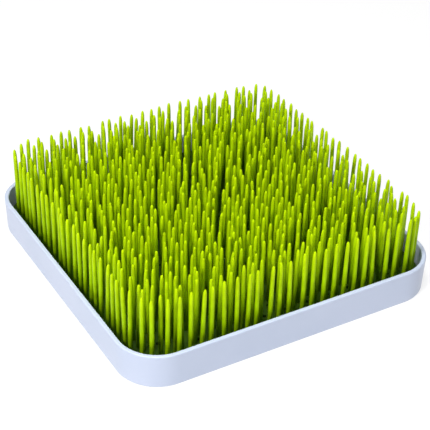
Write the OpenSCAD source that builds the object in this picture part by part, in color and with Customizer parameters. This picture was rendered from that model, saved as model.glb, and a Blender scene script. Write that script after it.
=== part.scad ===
// Drying rack: a shallow drip tray and a lift-out insert of upright soft blades.
// The insert is a perforated drain plate on short legs. Every blade has its root in
// a blind socket of that plate, so bottles and small parts are held by the tips
// while the water runs between the blades, through the drain holes, into the tray.
// Lengths are in millimetres, angles in degrees, +Z is up and the tray stands on Z = 0.

/* [Overall] */
// Width of the tray over its rim, along X
tray_w = 241.3; // [200:0.1:300]
// Depth of the tray over its rim, along Y
tray_d = 241.3; // [200:0.1:300]
// Height from the table to the tallest blade tip
overall_h = 63.5; // [50:0.5:85]

/* [Tray] */
// Height of the tray wall
tray_h = 25.5; // [19:0.1:32]
// Outer radius of the tray corners at the rim
corner_r = 30.6; // [24:0.1:40]
// Thickness of the wall at the rim
wall_t = 3.1; // [2.4:0.1:4]
// How far each side leans out from the foot to the rim
wall_draft = 0.8; // [0.4:0.1:1.6]
// How much thicker the wall gets on its inner side, from the rim to the floor
core_draft = 1; // [0.4:0.1:1.6]
// Rounding of the two rim edges
rim_edge_r = 0.9; // [0.5:0.1:1.1]
// Rounding of the outer bottom edge
foot_edge_r = 0.7; // [0.5:0.1:2.2]
// Thickness of the tray floor
floor_t = 2.4; // [1.8:0.1:3.2]
// Radius in the corner between wall and floor, inside
floor_fillet_r = 3; // [2:0.1:4]
// Width of the ring the tray stands on
foot_ring_w = 9; // [7:0.5:14]
// Depth of the shallow recess inside that ring
foot_recess = 0.6; // [0.3:0.1:0.8]

/* [Drain plate] */
// Gap between the edge of the plate and the tray wall
plate_gap = 0.8; // [0.5:0.1:1.5]
// Thickness of the drain plate
plate_t = 2.6; // [2.2:0.1:3.4]
// Height of the water space between tray floor and plate
sump_h = 6.2; // [4.5:0.1:8]
// Radius of a leg at the plate
leg_top_r = 3.4; // [2.6:0.1:4]
// Radius of a leg at the tray floor
leg_foot_r = 2.8; // [2:0.1:3.2]
// Radius of a drain hole
drain_r = 1.5; // [1:0.1:1.8]
// Least width of material between a drain hole and a socket
drain_web = 0.9; // [0.7:0.1:1.4]

/* [Blades] */
// Radius of a blade at its root
blade_r = 1.7; // [1.3:0.05:1.8]
// Radius of a blade where its rounded point begins
shoulder_r = 1.38; // [1:0.02:1.5]
// Length of the rounded point
point_len = 6.5; // [5:0.5:10]
// Depth of the blind socket that holds the root
socket_depth = 1.4; // [1:0.1:1.6]
// Gap around a root in its socket
socket_gap = 0.03; // [0.02:0.01:0.08]
// Distance of the outer ring of blades from the edge of the plate
edge_inset = 5.2; // [3.6:0.1:7]
// Most that a blade is shorter than the tallest one
height_spread = 1.3; // [0:0.1:2]
// Most that a blade leans each way
lean_max = 1.5; // [0:0.1:1.8]
// Most that a blade stands off its place in the field, in parts of the spacing
scatter = 0.27; // [0:0.01:0.28]

/* [Hidden] */
$fn = 48;

// Overlap that makes a cut run clear of a face
cut = 1;

// Tray: the corners are quarter turns about these centres
corner_x = tray_w / 2 - corner_r;
corner_y = tray_d / 2 - corner_r;
draft_angle = atan(wall_draft / tray_h);
inner_rim_r = corner_r - wall_t;
inner_floor_r = inner_rim_r - core_draft;
core_angle = atan(core_draft / (tray_h - floor_t));
foot_out_r = corner_r - wall_draft;
floor_edge_r = inner_floor_r - floor_fillet_r;

// Drain plate
plate_z = floor_t + sump_h;
plate_top = plate_z + plate_t;
plate_r = inner_floor_r + core_draft * sump_h / (tray_h - floor_t) - plate_gap;
seat_z = plate_top - socket_depth;

// Blades: a ring that follows the plate's edge, and a field of rows inside it
ring_r = plate_r - edge_inset;
ring_x = corner_x + ring_r;
ring_y = corner_y + ring_r;
rows = 25;
cols = 25;
pitch_x = 2 * ring_x / (cols + 1);
pitch_y = 2 * ring_y / (rows + 1);
pitch = min(pitch_x, pitch_y);
edge_count = 25;
ring_clear = 0.66 * pitch;
blade_h = overall_h - seat_z;
point_steps = 5;

// The ring's path: a straight side and the corner after it, four times round
side_x = 2 * corner_x;
side_y = 2 * corner_y;
bend = PI / 2 * ring_r;

// Legs stand under every fourth row and column, counted in from the edge
leg_step = 4;
leg_first = 2;
leg_last = cols - 1 - leg_first;

// A repeatable number from 0 to 1 for blade a of group b; k picks one of its traits
function frac(v) = v - floor(v);
function chance(a, b, k) = frac(sin(a * 127.1 + b * 311.7 + k * 74.7) * 9242.85);
function spread(a, b, k) = 2 * chance(a, b, k) - 1;

// Place of the blade in column i of row j
function field_x(i, j) = (i - (cols - 1) / 2 + scatter * spread(i, j, 1)) * pitch_x;
function field_y(i, j) = (j - (rows - 1) / 2 + scatter * spread(i, j, 2)) * pitch_y;

// How far a place is inside the ring of edge blades
function past(v, c) = max(abs(v) - c, 0);
function inside(x, y) = min(
    ring_r - norm([past(x, corner_x), past(y, corner_y)]),
    min(ring_x - abs(x), ring_y - abs(y)));
function planted(i, j) = inside(field_x(i, j), field_y(i, j)) > ring_clear;

// Place on a straight side and the bend after it, s along from the side's start.
// The side runs along +X at the front; its half length is c, and o is its offset.
function along(s, c, o) = s < 2 * c
    ? [s - c, -o - ring_r]
    : [c + ring_r * sin((s - 2 * c) / ring_r * 180 / PI),
       -o - ring_r * cos((s - 2 * c) / ring_r * 180 / PI)];
function side_len(q) = q % 2 == 0 ? side_x : side_y;
function turn(p, q) = [
    p[0] * cos(90 * q) - p[1] * sin(90 * q),
    p[0] * sin(90 * q) + p[1] * cos(90 * q)];
function edge_place(i, q) = turn(
    along((i + 0.5 + 0.17 * spread(i, q, 5)) * (side_len(q) + bend) / edge_count,
        side_len(q) / 2, side_len(q + 1) / 2), q);

// A drain hole lies where four cells meet, on every second such place
function drain_x(i) = (i - (cols - 2) / 2) * pitch_x;
function drain_y(j) = (j - (rows - 2) / 2) * pitch_y;
function reach(i, j, di, dj) = norm([
    field_x(i + di, j + dj) - drain_x(i),
    field_y(i + di, j + dj) - drain_y(j)]);
function nearest(i, j) = min(
    reach(i, j, 0, 0), reach(i, j, 1, 0), reach(i, j, 0, 1), reach(i, j, 1, 1));
function drained(i, j) = (i + j) % 2 == 0
    && nearest(i, j) > drain_r + blade_r + drain_web
    && inside(drain_x(i), drain_y(j)) > ring_clear;

// Legs: the cells run in from both edges, so the layout is the same from each side
function leg_cell(k) = k < 3 ? leg_first + leg_step * k : leg_last - leg_step * (5 - k);
function leg_x(k) = (leg_cell(k) - (cols - 1) / 2) * pitch_x;
function leg_y(k) = (leg_cell(k) - (rows - 1) / 2) * pitch_y;

// Flat outline with quarter-round corners of radius r about the tray's corner centres
module outline(r) {
    square([side_x + 2 * r, side_y], center = true);
    square([side_x, side_y + 2 * r], center = true);
    for (sx = [-1, 1], sy = [-1, 1])
        translate([sx * corner_x, sy * corner_y])
            circle(r);
}

// Section of the tray wall, drawn outward from a corner centre
module wall_section() {
    rim_out = corner_r - rim_edge_r / cos(draft_angle);
    rim_in = inner_rim_r + rim_edge_r / cos(core_angle);
    rim_z = tray_h - rim_edge_r;
    foot_in = foot_out_r - foot_edge_r / cos(draft_angle);
    polygon([
        [floor_edge_r - cut, 0],
        [foot_in, 0],
        [foot_in, foot_edge_r],
        [foot_in + foot_edge_r * cos(draft_angle), foot_edge_r - foot_edge_r * sin(draft_angle)],
        [rim_out + rim_edge_r * cos(draft_angle), rim_z - rim_edge_r * sin(draft_angle)],
        [rim_out, rim_z],
        [rim_out, tray_h],
        [rim_in, tray_h],
        [rim_in, rim_z],
        [rim_in - rim_edge_r * cos(core_angle), rim_z - rim_edge_r * sin(core_angle)],
        [inner_floor_r, floor_t],
        [floor_edge_r - cut, floor_t]
    ]);
    translate([foot_in, foot_edge_r])
        circle(foot_edge_r);
    translate([rim_out, rim_z])
        circle(rim_edge_r);
    translate([rim_in, rim_z])
        circle(rim_edge_r);
    difference() {
        translate([floor_edge_r, floor_t - cut])
            square([floor_fillet_r + cut, floor_fillet_r + cut]);
        translate([floor_edge_r, floor_t + floor_fillet_r])
            circle(floor_fillet_r);
    }
}

module tray() {
    color([0.83, 0.86, 0.93])
    difference() {
        union() {
            for (q = [0 : 3])
                translate([
                    (q == 0 || q == 3 ? 1 : -1) * corner_x,
                    (q < 2 ? 1 : -1) * corner_y,
                    0])
                    rotate([0, 0, 90 * q])
                        rotate_extrude(angle = 90)
                            wall_section();
            for (q = [0 : 3])
                rotate([0, 0, 90 * q])
                    translate([side_len(q) / 2, 0, 0])
                        rotate([90, 0, 0])
                            linear_extrude(height = side_len(q + 1), center = true)
                                wall_section();
            linear_extrude(height = floor_t)
                outline(floor_edge_r);
        }
        translate([0, 0, -cut])
            linear_extrude(height = foot_recess + cut)
                outline(foot_out_r - foot_ring_w);
    }
}

// One blade, drawn from its root on z = 0, h tall
module blade(h) {
    rotate_extrude()
        polygon(concat(
            [[0, 0], [blade_r, 0], [blade_r, socket_depth]],
            [for (k = [0 : point_steps - 1])
                [shoulder_r * cos(90 * k / point_steps),
                 h - point_len + point_len * sin(90 * k / point_steps)]],
            [[0, h]]));
}

// Puts something at a place of the field or the edge, with that blade's own lean
module plant(p, a, b) {
    translate([p[0], p[1], seat_z])
        rotate([lean_max * spread(a, b, 3), lean_max * spread(a, b, 4), 0])
            children();
}

module edge_blades(q) {
    color([0.55, 0.72, 0.05])
    for (i = [0 : edge_count - 1])
        plant(edge_place(i, q), i, 40 + q)
            blade(blade_h - height_spread * chance(i, 40 + q, 6));
}

module blade_row(j) {
    color([0.55, 0.72, 0.05])
    for (i = [0 : cols - 1])
        if (planted(i, j))
            plant([field_x(i, j), field_y(i, j)], i, j)
                blade(blade_h - height_spread * chance(i, j, 6));
}

module socket() {
    cylinder(r = blade_r + socket_gap, h = socket_depth + cut);
}

module drain_plate() {
    color([0.42, 0.58, 0.04])
    difference() {
        translate([0, 0, plate_z])
            linear_extrude(height = plate_t)
                outline(plate_r);
        for (q = [0 : 3], i = [0 : edge_count - 1])
            plant(edge_place(i, q), i, 40 + q)
                socket();
        for (i = [0 : cols - 1], j = [0 : rows - 1])
            if (planted(i, j))
                plant([field_x(i, j), field_y(i, j)], i, j)
                    socket();
        for (i = [0 : cols - 2], j = [0 : rows - 2])
            if (drained(i, j))
                translate([drain_x(i), drain_y(j), plate_z - cut])
                    cylinder(r = drain_r, h = plate_t + 2 * cut);
    }
}

// The legs hold the plate off the tray floor
module plate_legs() {
    color([0.42, 0.58, 0.04])
    for (a = [0 : 5], b = [0 : 5])
        translate([leg_x(a), leg_y(b), floor_t])
            cylinder(r1 = leg_foot_r, r2 = leg_top_r, h = sump_h);
}

tray();
drain_plate();
plate_legs();
edge_blades(0);  // edge_blades_front
edge_blades(1);  // edge_blades_right
edge_blades(2);  // edge_blades_back
edge_blades(3);  // edge_blades_left
blade_row(0);  // blade_row_01
blade_row(1);  // blade_row_02
blade_row(2);  // blade_row_03
blade_row(3);  // blade_row_04
blade_row(4);  // blade_row_05
blade_row(5);  // blade_row_06
blade_row(6);  // blade_row_07
blade_row(7);  // blade_row_08
blade_row(8);  // blade_row_09
blade_row(9);  // blade_row_10
blade_row(10);  // blade_row_11
blade_row(11);  // blade_row_12
blade_row(12);  // blade_row_13
blade_row(13);  // blade_row_14
blade_row(14);  // blade_row_15
blade_row(15);  // blade_row_16
blade_row(16);  // blade_row_17
blade_row(17);  // blade_row_18
blade_row(18);  // blade_row_19
blade_row(19);  // blade_row_20
blade_row(20);  // blade_row_21
blade_row(21);  // blade_row_22
blade_row(22);  // blade_row_23
blade_row(23);  // blade_row_24
blade_row(24);  // blade_row_25
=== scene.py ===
# %% [markdown]
# # A drying rack that looks like a patch of lawn
#
# The rack has two things that a hand can take apart: a pale, shallow drip tray and a
# green insert that lifts out of it. The insert is a drain plate on short legs with
# some hundreds of soft upright blades. This lesson loads the engineering model as a
# fixed frame, gives the tray and the plate their moulded plastic, and grows every
# blade anew as a soft, slightly curved piece on the place of its plain solid.

# %% Load the frame
import math
import random
import bpy
from mathutils import Matrix, Vector


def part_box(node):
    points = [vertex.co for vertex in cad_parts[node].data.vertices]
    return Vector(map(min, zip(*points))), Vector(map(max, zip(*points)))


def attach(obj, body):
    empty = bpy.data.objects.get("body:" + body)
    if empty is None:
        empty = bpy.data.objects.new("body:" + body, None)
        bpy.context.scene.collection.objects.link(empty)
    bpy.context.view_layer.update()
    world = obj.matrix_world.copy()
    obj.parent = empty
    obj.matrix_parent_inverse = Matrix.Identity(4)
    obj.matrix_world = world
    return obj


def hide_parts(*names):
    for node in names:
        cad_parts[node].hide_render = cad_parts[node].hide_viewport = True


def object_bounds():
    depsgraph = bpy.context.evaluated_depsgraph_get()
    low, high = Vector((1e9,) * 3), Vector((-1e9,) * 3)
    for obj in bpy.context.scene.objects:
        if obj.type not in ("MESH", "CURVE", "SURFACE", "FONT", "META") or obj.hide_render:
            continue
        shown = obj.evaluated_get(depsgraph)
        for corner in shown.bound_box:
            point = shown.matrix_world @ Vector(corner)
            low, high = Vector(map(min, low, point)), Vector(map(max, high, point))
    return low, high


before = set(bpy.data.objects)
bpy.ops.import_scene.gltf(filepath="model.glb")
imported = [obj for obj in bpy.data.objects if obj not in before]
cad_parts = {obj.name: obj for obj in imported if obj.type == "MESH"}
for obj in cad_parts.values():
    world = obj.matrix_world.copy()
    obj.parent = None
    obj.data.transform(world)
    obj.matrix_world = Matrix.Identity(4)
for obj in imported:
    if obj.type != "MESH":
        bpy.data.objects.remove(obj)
cad_low, cad_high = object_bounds()


def in_mm(metres, digits=1):
    return [round(v * 1000, digits) for v in metres]


print("frame:", len(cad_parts), "nodes, box", in_mm(cad_high - cad_low), "mm")

# %% [markdown]
# ## The studio
#
# The rack stands on a white table in soft light. A table can be lit only from above,
# but then each blade and wall throws a grey patch on it. Here the floor also glows by
# itself, as a sheet of white acrylic lit from below does, so it stays pale right up to
# the tray, and it lights the outer blades and walls from underneath.

# %% Floor
FLOOR_SIZE = 12.0
FLOOR_GAP = 0.0004  # keeps the floor's face and the tray's underside apart
FLOOR_GREY = 0.25
FLOOR_GLOW = 0.78

def pale_floor():
    bpy.ops.object.select_all(action="DESELECT")
    bpy.ops.mesh.primitive_plane_add(size=FLOOR_SIZE, location=(0, 0, cad_low.z - FLOOR_GAP))
    floor = bpy.context.object
    floor.name = "studio_floor"
    mat = bpy.data.materials.new("white_acrylic_table")
    mat.use_nodes = True
    shader = mat.node_tree.nodes["Principled BSDF"]
    shader.inputs["Base Color"].default_value = (FLOOR_GREY, FLOOR_GREY, FLOOR_GREY, 1)
    shader.inputs["Roughness"].default_value = 0.9
    shader.inputs["Specular IOR Level"].default_value = 0.1
    shader.inputs["Emission Color"].default_value = (1, 1, 1, 1)
    shader.inputs["Emission Strength"].default_value = FLOOR_GLOW
    floor.data.materials.append(mat)
    return floor


studio_floor = pale_floor()
print("floor at", in_mm(studio_floor.location, 2), "mm")

# %% [markdown]
# Four soft boxes do the rest. The key stands at the front left, about forty degrees
# up, and models the blades. A second one hangs overhead and reaches down between
# them. Two weak ones, at the front right and at the back, keep the shaded walls from
# going dull. The room itself is nearly dark, so the gaps between blades stay deep,
# but its horizon is as pale as the floor, so a low view shows no dark band.

# %% Room
ROOM_GLOW = 0.055
HORIZON_GLOW = 0.8
# sines of the heights above the horizon, about 2 and 4 degrees, between which it fades
FADE_FROM, FADE_TO = 0.03, 0.07

def pale_horizon_room():
    world = bpy.data.worlds.new("white_room")
    world.use_nodes = True
    nodes, links = world.node_tree.nodes, world.node_tree.links
    sky = nodes["Background"]
    sky.inputs["Color"].default_value = (0.96, 0.98, 1.0, 1)
    way = nodes.new("ShaderNodeSeparateXYZ")
    links.new(nodes.new("ShaderNodeTexCoord").outputs["Generated"], way.inputs[0])
    fade = nodes.new("ShaderNodeMapRange")
    fade.inputs["From Min"].default_value = FADE_FROM
    fade.inputs["From Max"].default_value = FADE_TO
    fade.inputs["To Min"].default_value = HORIZON_GLOW
    fade.inputs["To Max"].default_value = ROOM_GLOW
    links.new(way.outputs["Z"], fade.inputs["Value"])
    links.new(fade.outputs["Result"], sky.inputs["Strength"])
    bpy.context.scene.world = world
    return world


print("room:", pale_horizon_room().name)

# %% Soft boxes
# name: place, width, power, tint
SOFT_BOXES = {
    "key_soft_box": ((-0.98, -0.54, 0.90), 0.28, 14.4, (1, 0.99, 0.97)),
    "top_soft_box": ((-0.20, -0.20, 1.40), 0.40, 15.0, (1, 1, 1)),
    "front_soft_box": ((0.35, -1.2, 0.5), 0.7, 1.6, (0.93, 0.99, 1)),
    "back_soft_box": ((0.62, 1.02, 0.86), 0.6, 1.5, (1, 1, 1)),
}
MIDDLE_OF_RACK = Vector((0, 0, 0.03))

def soft_box(name, place, width, power, tint):
    lamp = bpy.data.lights.new(name, "AREA")
    lamp.shape = "SQUARE"
    lamp.size = width
    lamp.energy = power
    lamp.color = tint
    box = bpy.data.objects.new(name, lamp)
    bpy.context.scene.collection.objects.link(box)
    box.location = place
    box.rotation_mode = "QUATERNION"
    box.rotation_quaternion = (MIDDLE_OF_RACK - Vector(place)).to_track_quat("-Z", "Y")
    return box


lamps = [soft_box(name, *about) for name, about in SOFT_BOXES.items()]
bpy.context.scene.view_settings.view_transform = "Standard"
print("lights:", [(o.name, round(o.data.energy, 1)) for o in lamps])

# %% [markdown]
# ## The camera
#
# A long lens keeps the tray's far side nearly as wide as its near side, as in a
# catalogue picture. It stands about a metre away, a third of a right angle round to
# the left and a little more than that above the table, so that one rounded corner of
# the tray is nearest. The camera is also turned about its own line of sight by a
# little over a degree. A camera could be placed by its angles, but building its three
# axes from the view direction keeps the roll apart from the other two turns.

# %% Camera
AIM = Vector((0.02685, 0.03799, 0.0008))
AZIMUTH, ELEVATION, ROLL = (math.radians(a) for a in (-30.48, 33.73, 1.306))
DISTANCE = 0.9923
LENS, FILM = 107.97, 36

def studio_camera():
    right = Vector((math.cos(AZIMUTH), math.sin(AZIMUTH), 0))
    back = Vector((math.sin(AZIMUTH) * math.cos(ELEVATION),
                   -math.cos(AZIMUTH) * math.cos(ELEVATION), math.sin(ELEVATION)))
    up = back.cross(right)
    x = math.cos(ROLL) * right + math.sin(ROLL) * up
    y = math.cos(ROLL) * up - math.sin(ROLL) * right
    cam = bpy.data.objects.new("studio_camera", bpy.data.cameras.new("studio_camera"))
    bpy.context.scene.collection.objects.link(cam)
    cam.data.lens = LENS
    cam.data.sensor_width = FILM
    turn = Matrix((x, y, back)).transposed()
    cam.matrix_world = Matrix.Translation(AIM + back * DISTANCE) @ turn.to_4x4()
    bpy.context.scene.camera = cam
    return cam


camera = studio_camera()
print("camera at", in_mm(camera.matrix_world.translation, 0), "mm")

# %% [markdown]
# ## Finishes
#
# All three finishes are moulded plastic, and each has what such plastic shows up
# close: a colour that drifts a little with the flow of the melt, a gloss that is
# uneven from handling and washing, and a fine grain from the mould. The patterns are
# noise on Object coordinates, so they are fixed in the piece and need no picture.
# Painted textures could do the same, but they would have to be unwrapped on several
# hundred blades. Most of the helpers below add one small group of nodes each, and the
# last one puts a finished material on a piece.

# %% Helpers for the finishes
def new_finish(name):
    mat = bpy.data.materials.new(name)
    mat.use_nodes = True
    return mat, mat.node_tree.nodes, mat.node_tree.links, mat.node_tree.nodes["Principled BSDF"]


def noise(nodes, links, coords, scale, detail=3.0, rough=0.5):
    n = nodes.new("ShaderNodeTexNoise")
    n.inputs["Scale"].default_value = scale
    n.inputs["Detail"].default_value = detail
    n.inputs["Roughness"].default_value = rough
    links.new(coords, n.inputs["Vector"])
    return n.outputs["Fac"]


def span(nodes, links, value, low, high, new_low, new_high):
    m = nodes.new("ShaderNodeMapRange")
    m.inputs["From Min"].default_value = low
    m.inputs["From Max"].default_value = high
    m.inputs["To Min"].default_value = new_low
    m.inputs["To Max"].default_value = new_high
    links.new(value, m.inputs["Value"])
    return m.outputs["Result"]


def blend_colours(nodes, links, share, first, second):
    m = nodes.new("ShaderNodeMix")
    m.data_type = "RGBA"
    m.inputs[6].default_value = (*first, 1)
    m.inputs[7].default_value = (*second, 1)
    links.new(share, m.inputs[0])
    return m.outputs[2]


def grain(nodes, links, coords, shader, scale, depth, strength):
    height = noise(nodes, links, coords, scale, 2.0)
    b = nodes.new("ShaderNodeBump")
    b.inputs["Strength"].default_value = strength
    b.inputs["Distance"].default_value = depth
    links.new(height, b.inputs["Height"])
    links.new(b.outputs["Normal"], shader.inputs["Normal"])


def dress(piece, finish):
    piece.data.materials.clear()
    piece.data.materials.append(finish)


print("helpers:", [f.__name__ for f in (new_finish, noise, span, blend_colours, grain, dress)])

# %% [markdown]
# ### Tray plastic
#
# The tray is a hard, pale lavender plastic with a satin face. A high gloss would show
# each soft box as a bright patch on the walls, so the roughness is middling and a thin
# coat gives only the line of light along the rounded rim.

# %% Tray plastic
def tray_plastic():
    mat, nodes, links, shader = new_finish("pale_lavender_plastic")
    coords = nodes.new("ShaderNodeTexCoord").outputs["Object"]
    drift = noise(nodes, links, coords, 22.0, 4.0)
    colour = blend_colours(nodes, links, span(nodes, links, drift, 0.35, 0.65, 0, 1),
                           (0.515, 0.577, 0.735), (0.540, 0.597, 0.755))
    links.new(colour, shader.inputs["Base Color"])
    wipe = noise(nodes, links, coords, 60.0, 5.0, 0.6)
    links.new(span(nodes, links, wipe, 0.3, 0.7, 0.38, 0.44), shader.inputs["Roughness"])
    shader.inputs["Specular IOR Level"].default_value = 0.35
    shader.inputs["Coat Weight"].default_value = 0.12
    shader.inputs["Coat Roughness"].default_value = 0.12
    grain(nodes, links, coords, shader, 1800.0, 0.00006, 0.25)
    return mat


TRAY = tray_plastic()
dress(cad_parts["tray"], TRAY)
print("tray wears", TRAY.name)

# %% [markdown]
# ### Plate plastic
#
# Plate and legs are a deep green, much darker than the blades; part of that darkness is painted
# shade, standing in for the shade that falls on the plate in the gaps at the blade roots. They
# are seen only through the gaps between the blades and when the insert is lifted, where the
# holes and the edge of the plate come from the frame's own mesh.

# %% Plate plastic
def plate_plastic():
    mat, nodes, links, shader = new_finish("deep_green_plastic_painted_shade")
    coords = nodes.new("ShaderNodeTexCoord").outputs["Object"]
    drift = noise(nodes, links, coords, 35.0, 4.0)
    # green plastic, darkened as painted shade for the gaps at the blade roots
    colour = blend_colours(nodes, links, span(nodes, links, drift, 0.35, 0.65, 0, 1),
                           (0.018, 0.045, 0.001), (0.03, 0.07, 0.002))
    links.new(colour, shader.inputs["Base Color"])
    wipe = noise(nodes, links, coords, 90.0, 4.0)
    links.new(span(nodes, links, wipe, 0.3, 0.7, 0.38, 0.55), shader.inputs["Roughness"])
    shader.inputs["Specular IOR Level"].default_value = 0.25
    grain(nodes, links, coords, shader, 1500.0, 0.00008, 0.3)
    return mat


PLATE = plate_plastic()
for part in ("drain_plate", "plate_legs"):
    dress(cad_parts[part], PLATE)
print("plate and legs wear", PLATE.name)

# %% [markdown]
# ### Blade plastic
#
# The blades are a softer, slightly cloudy plastic. Light enters at the thin tips and leaves
# again, and little light reaches down between the blades, so the tips look brighter and
# yellower than the roots. Strong subsurface scattering alone would give the glow, but it
# renders slowly and washes out the edges of such thin stalks. So a gentle gradient on the
# height paints this light and shade into the colour: painted shade at the roots, where it falls
# deep between the blades, and painted light at the tips. A soft noise makes one blade a shade
# lighter than the next, and only a little scattering is left to give the glow. The gloss is
# tinted green, a painted reflection, because light that glances off one blade has mostly come
# from its neighbours.

# %% Blade plastic
PLATE_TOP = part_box("drain_plate")[1].z
TIP_TOP = cad_high.z
# root and tip colours are painted shade and painted light: a darker root for the shade deep
# between the blades, a lighter tip for the light the tips catch
ROOT_GREEN_PAINTED_SHADE = (0.30, 0.50, 0.0008)
MIDDLE_GREEN = (0.34, 0.555, 0.001)
TIP_GREEN_PAINTED_LIGHT = (0.49, 0.70, 0.002)

def blade_plastic():
    mat, nodes, links, shader = new_finish("lime_soft_plastic")
    coords = nodes.new("ShaderNodeTexCoord").outputs["Object"]
    split = nodes.new("ShaderNodeSeparateXYZ")
    links.new(coords, split.inputs[0])
    # this gradient on the height paints shade at the roots and light at the tips
    height = span(nodes, links, split.outputs["Z"], PLATE_TOP, TIP_TOP, 0, 1)
    ramp = nodes.new("ShaderNodeValToRGB")
    ramp.color_ramp.elements[0].color = (*ROOT_GREEN_PAINTED_SHADE, 1)
    ramp.color_ramp.elements[1].color = (*TIP_GREEN_PAINTED_LIGHT, 1)
    ramp.color_ramp.elements.new(0.5).color = (*MIDDLE_GREEN, 1)
    links.new(height, ramp.inputs["Fac"])
    drift = noise(nodes, links, coords, 140.0, 2.0)
    shade = nodes.new("ShaderNodeHueSaturation")
    links.new(span(nodes, links, drift, 0.3, 0.7, 0.86, 1.10), shade.inputs["Value"])
    links.new(ramp.outputs["Color"], shade.inputs["Color"])
    links.new(shade.outputs["Color"], shader.inputs["Base Color"])
    wipe = noise(nodes, links, coords, 260.0, 3.0)
    links.new(span(nodes, links, wipe, 0.3, 0.7, 0.34, 0.50), shader.inputs["Roughness"])
    shader.inputs["Specular IOR Level"].default_value = 0.16
    # green tint on the gloss: a painted reflection of the neighbouring blades
    shader.inputs["Specular Tint"].default_value = (0.80, 1.0, 0.12, 1)
    shader.inputs["Subsurface Weight"].default_value = 0.08
    shader.inputs["Subsurface Radius"].default_value = (0.8, 1.0, 0.2)
    shader.inputs["Subsurface Scale"].default_value = 0.0012
    grain(nodes, links, coords, shader, 1200.0, 0.00005, 0.2)
    return mat


BLADE = blade_plastic()
print("blades wear", BLADE.name)

# %% [markdown]
# ## One blade
#
# A blade is a round stalk with a blunt pointed end. It could be a cone with a bevel, but
# growing it ring by ring keeps control of the taper: a circle is filled, extruded
# upward several times, and each new ring is scaled in. The stalk is drawn one unit
# tall. Eight sides and a few rings are enough, because hundreds of copies will stand
# close together and smooth shading hides the corners.

# %% Model the blade
ROOT_R = 0.0017
SIDES = 8
# share of the height, share of the root radius
RINGS = ((0.5, 0.935), (0.876, 0.85), (0.93, 0.77), (0.968, 0.62), (0.992, 0.38))

def model_blade():
    bpy.ops.object.select_all(action="DESELECT")
    bpy.ops.mesh.primitive_circle_add(vertices=SIDES, radius=ROOT_R, fill_type="NGON")
    blade = bpy.context.object
    blade.name = "blade_pattern"
    bpy.ops.object.mode_set(mode="EDIT")
    bpy.ops.mesh.select_all(action="SELECT")
    height, wide = 0.0, 1.0
    for up, share in RINGS:
        bpy.ops.mesh.extrude_region_move(TRANSFORM_OT_translate={"value": (0, 0, up - height)})
        grow = share / wide
        bpy.ops.transform.resize(value=(grow, grow, 1), center_override=(0, 0, up))
        height, wide = up, share
    bpy.ops.mesh.extrude_region_move(TRANSFORM_OT_translate={"value": (0, 0, 1 - height)})
    bpy.ops.mesh.merge(type="COLLAPSE")
    bpy.ops.mesh.select_all(action="SELECT")
    bpy.ops.mesh.normals_make_consistent(inside=False)
    bpy.ops.object.mode_set(mode="OBJECT")
    bpy.ops.object.shade_smooth()
    return blade


pattern = model_blade()
print("one blade:", len(pattern.data.polygons), "faces")

# %% [markdown]
# ## Where the blades stand
#
# The frame already holds each blade as a plain solid, so its mesh tells where the
# blade is rooted and where its tip ends. A copy of the node is merged into closed
# solids and split into its loose parts. The middle of a part's lowest ring is the
# root, and its highest point is the tip.

# %% Read roots and tips
SAME_POINT = 1e-6
ROOT_RING = 0.0003  # points this little above the lowest one belong to the lowest ring

def roots_and_tips(node):
    bpy.ops.object.select_all(action="DESELECT")
    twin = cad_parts[node].copy()
    twin.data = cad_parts[node].data.copy()
    twin.parent = None
    bpy.context.scene.collection.objects.link(twin)
    twin.select_set(True)
    bpy.context.view_layer.objects.active = twin
    bpy.ops.object.mode_set(mode="EDIT")
    bpy.ops.mesh.select_all(action="SELECT")
    bpy.ops.mesh.remove_doubles(threshold=SAME_POINT)
    bpy.ops.mesh.separate(type="LOOSE")
    bpy.ops.object.mode_set(mode="OBJECT")
    found = []
    for part in list(bpy.context.selected_objects):
        points = [v.co.copy() for v in part.data.vertices]
        low = min(p.z for p in points)
        ring = [p for p in points if p.z < low + ROOT_RING]
        found.append((sum(ring, Vector()) / len(ring), max(points, key=lambda p: p.z)))
        old = part.data
        bpy.data.objects.remove(part)
        bpy.data.meshes.remove(old)
    return found


one_side = roots_and_tips("edge_blades_left")
print("left edge:", len(one_side), "blades, the first",
      *in_mm([(one_side[0][1] - one_side[0][0]).length]), "mm long")

# %% [markdown]
# ## Planting them
#
# Every blade is a copy of the pattern with its own mesh: stretched to its length,
# turned about itself, and set on the line from root to tip. Soft blades are never
# quite straight, so each one also bows a little sideways between its two ends. A
# particle system or an array could scatter them faster, but only copies hit the very
# spots where the frame's blades stand. The blades of one row are joined into one
# piece, which takes the place of that row and rides on the insert.

# %% Plant every row
BOW = 0.0005  # a blade bows by up to 0.6 of this, most at two thirds of its height
chance = random.Random(7)

def plant(root, tip):
    blade = pattern.copy()
    blade.data = pattern.data.copy()
    bpy.context.scene.collection.objects.link(blade)
    line = tip - root
    turn = line.to_track_quat("Z", "Y").to_matrix()
    spin = Matrix.Rotation(chance.uniform(0, 2 * math.pi), 3, "Z")
    side = chance.uniform(0, 2 * math.pi)
    bow = BOW * chance.uniform(-1, 1)
    for v in blade.data.vertices:
        p = spin @ Vector((v.co.x, v.co.y, 0))
        up = v.co.z
        bend = bow * 4 * up * up * (1 - up)
        p += Vector((math.cos(side) * bend, math.sin(side) * bend, up * line.length))
        v.co = root + turn @ p
    return blade


def plant_row(node):
    blades = [plant(root, tip) for root, tip in roots_and_tips(node)]
    bpy.ops.object.select_all(action="DESELECT")
    for b in blades:
        b.select_set(True)
    bpy.context.view_layer.objects.active = blades[0]
    bpy.ops.object.join()
    row = bpy.context.object
    row.name = row.data.name = "soft_" + node
    dress(row, BLADE)
    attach(row, "blade_insert")
    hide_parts(node)
    return row, len(blades)


rows = [plant_row(node) for node in sorted(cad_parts) if "blade" in node]
bpy.data.objects.remove(pattern)
print("planted", sum(n for _, n in rows), "blades in", len(rows), "rows")
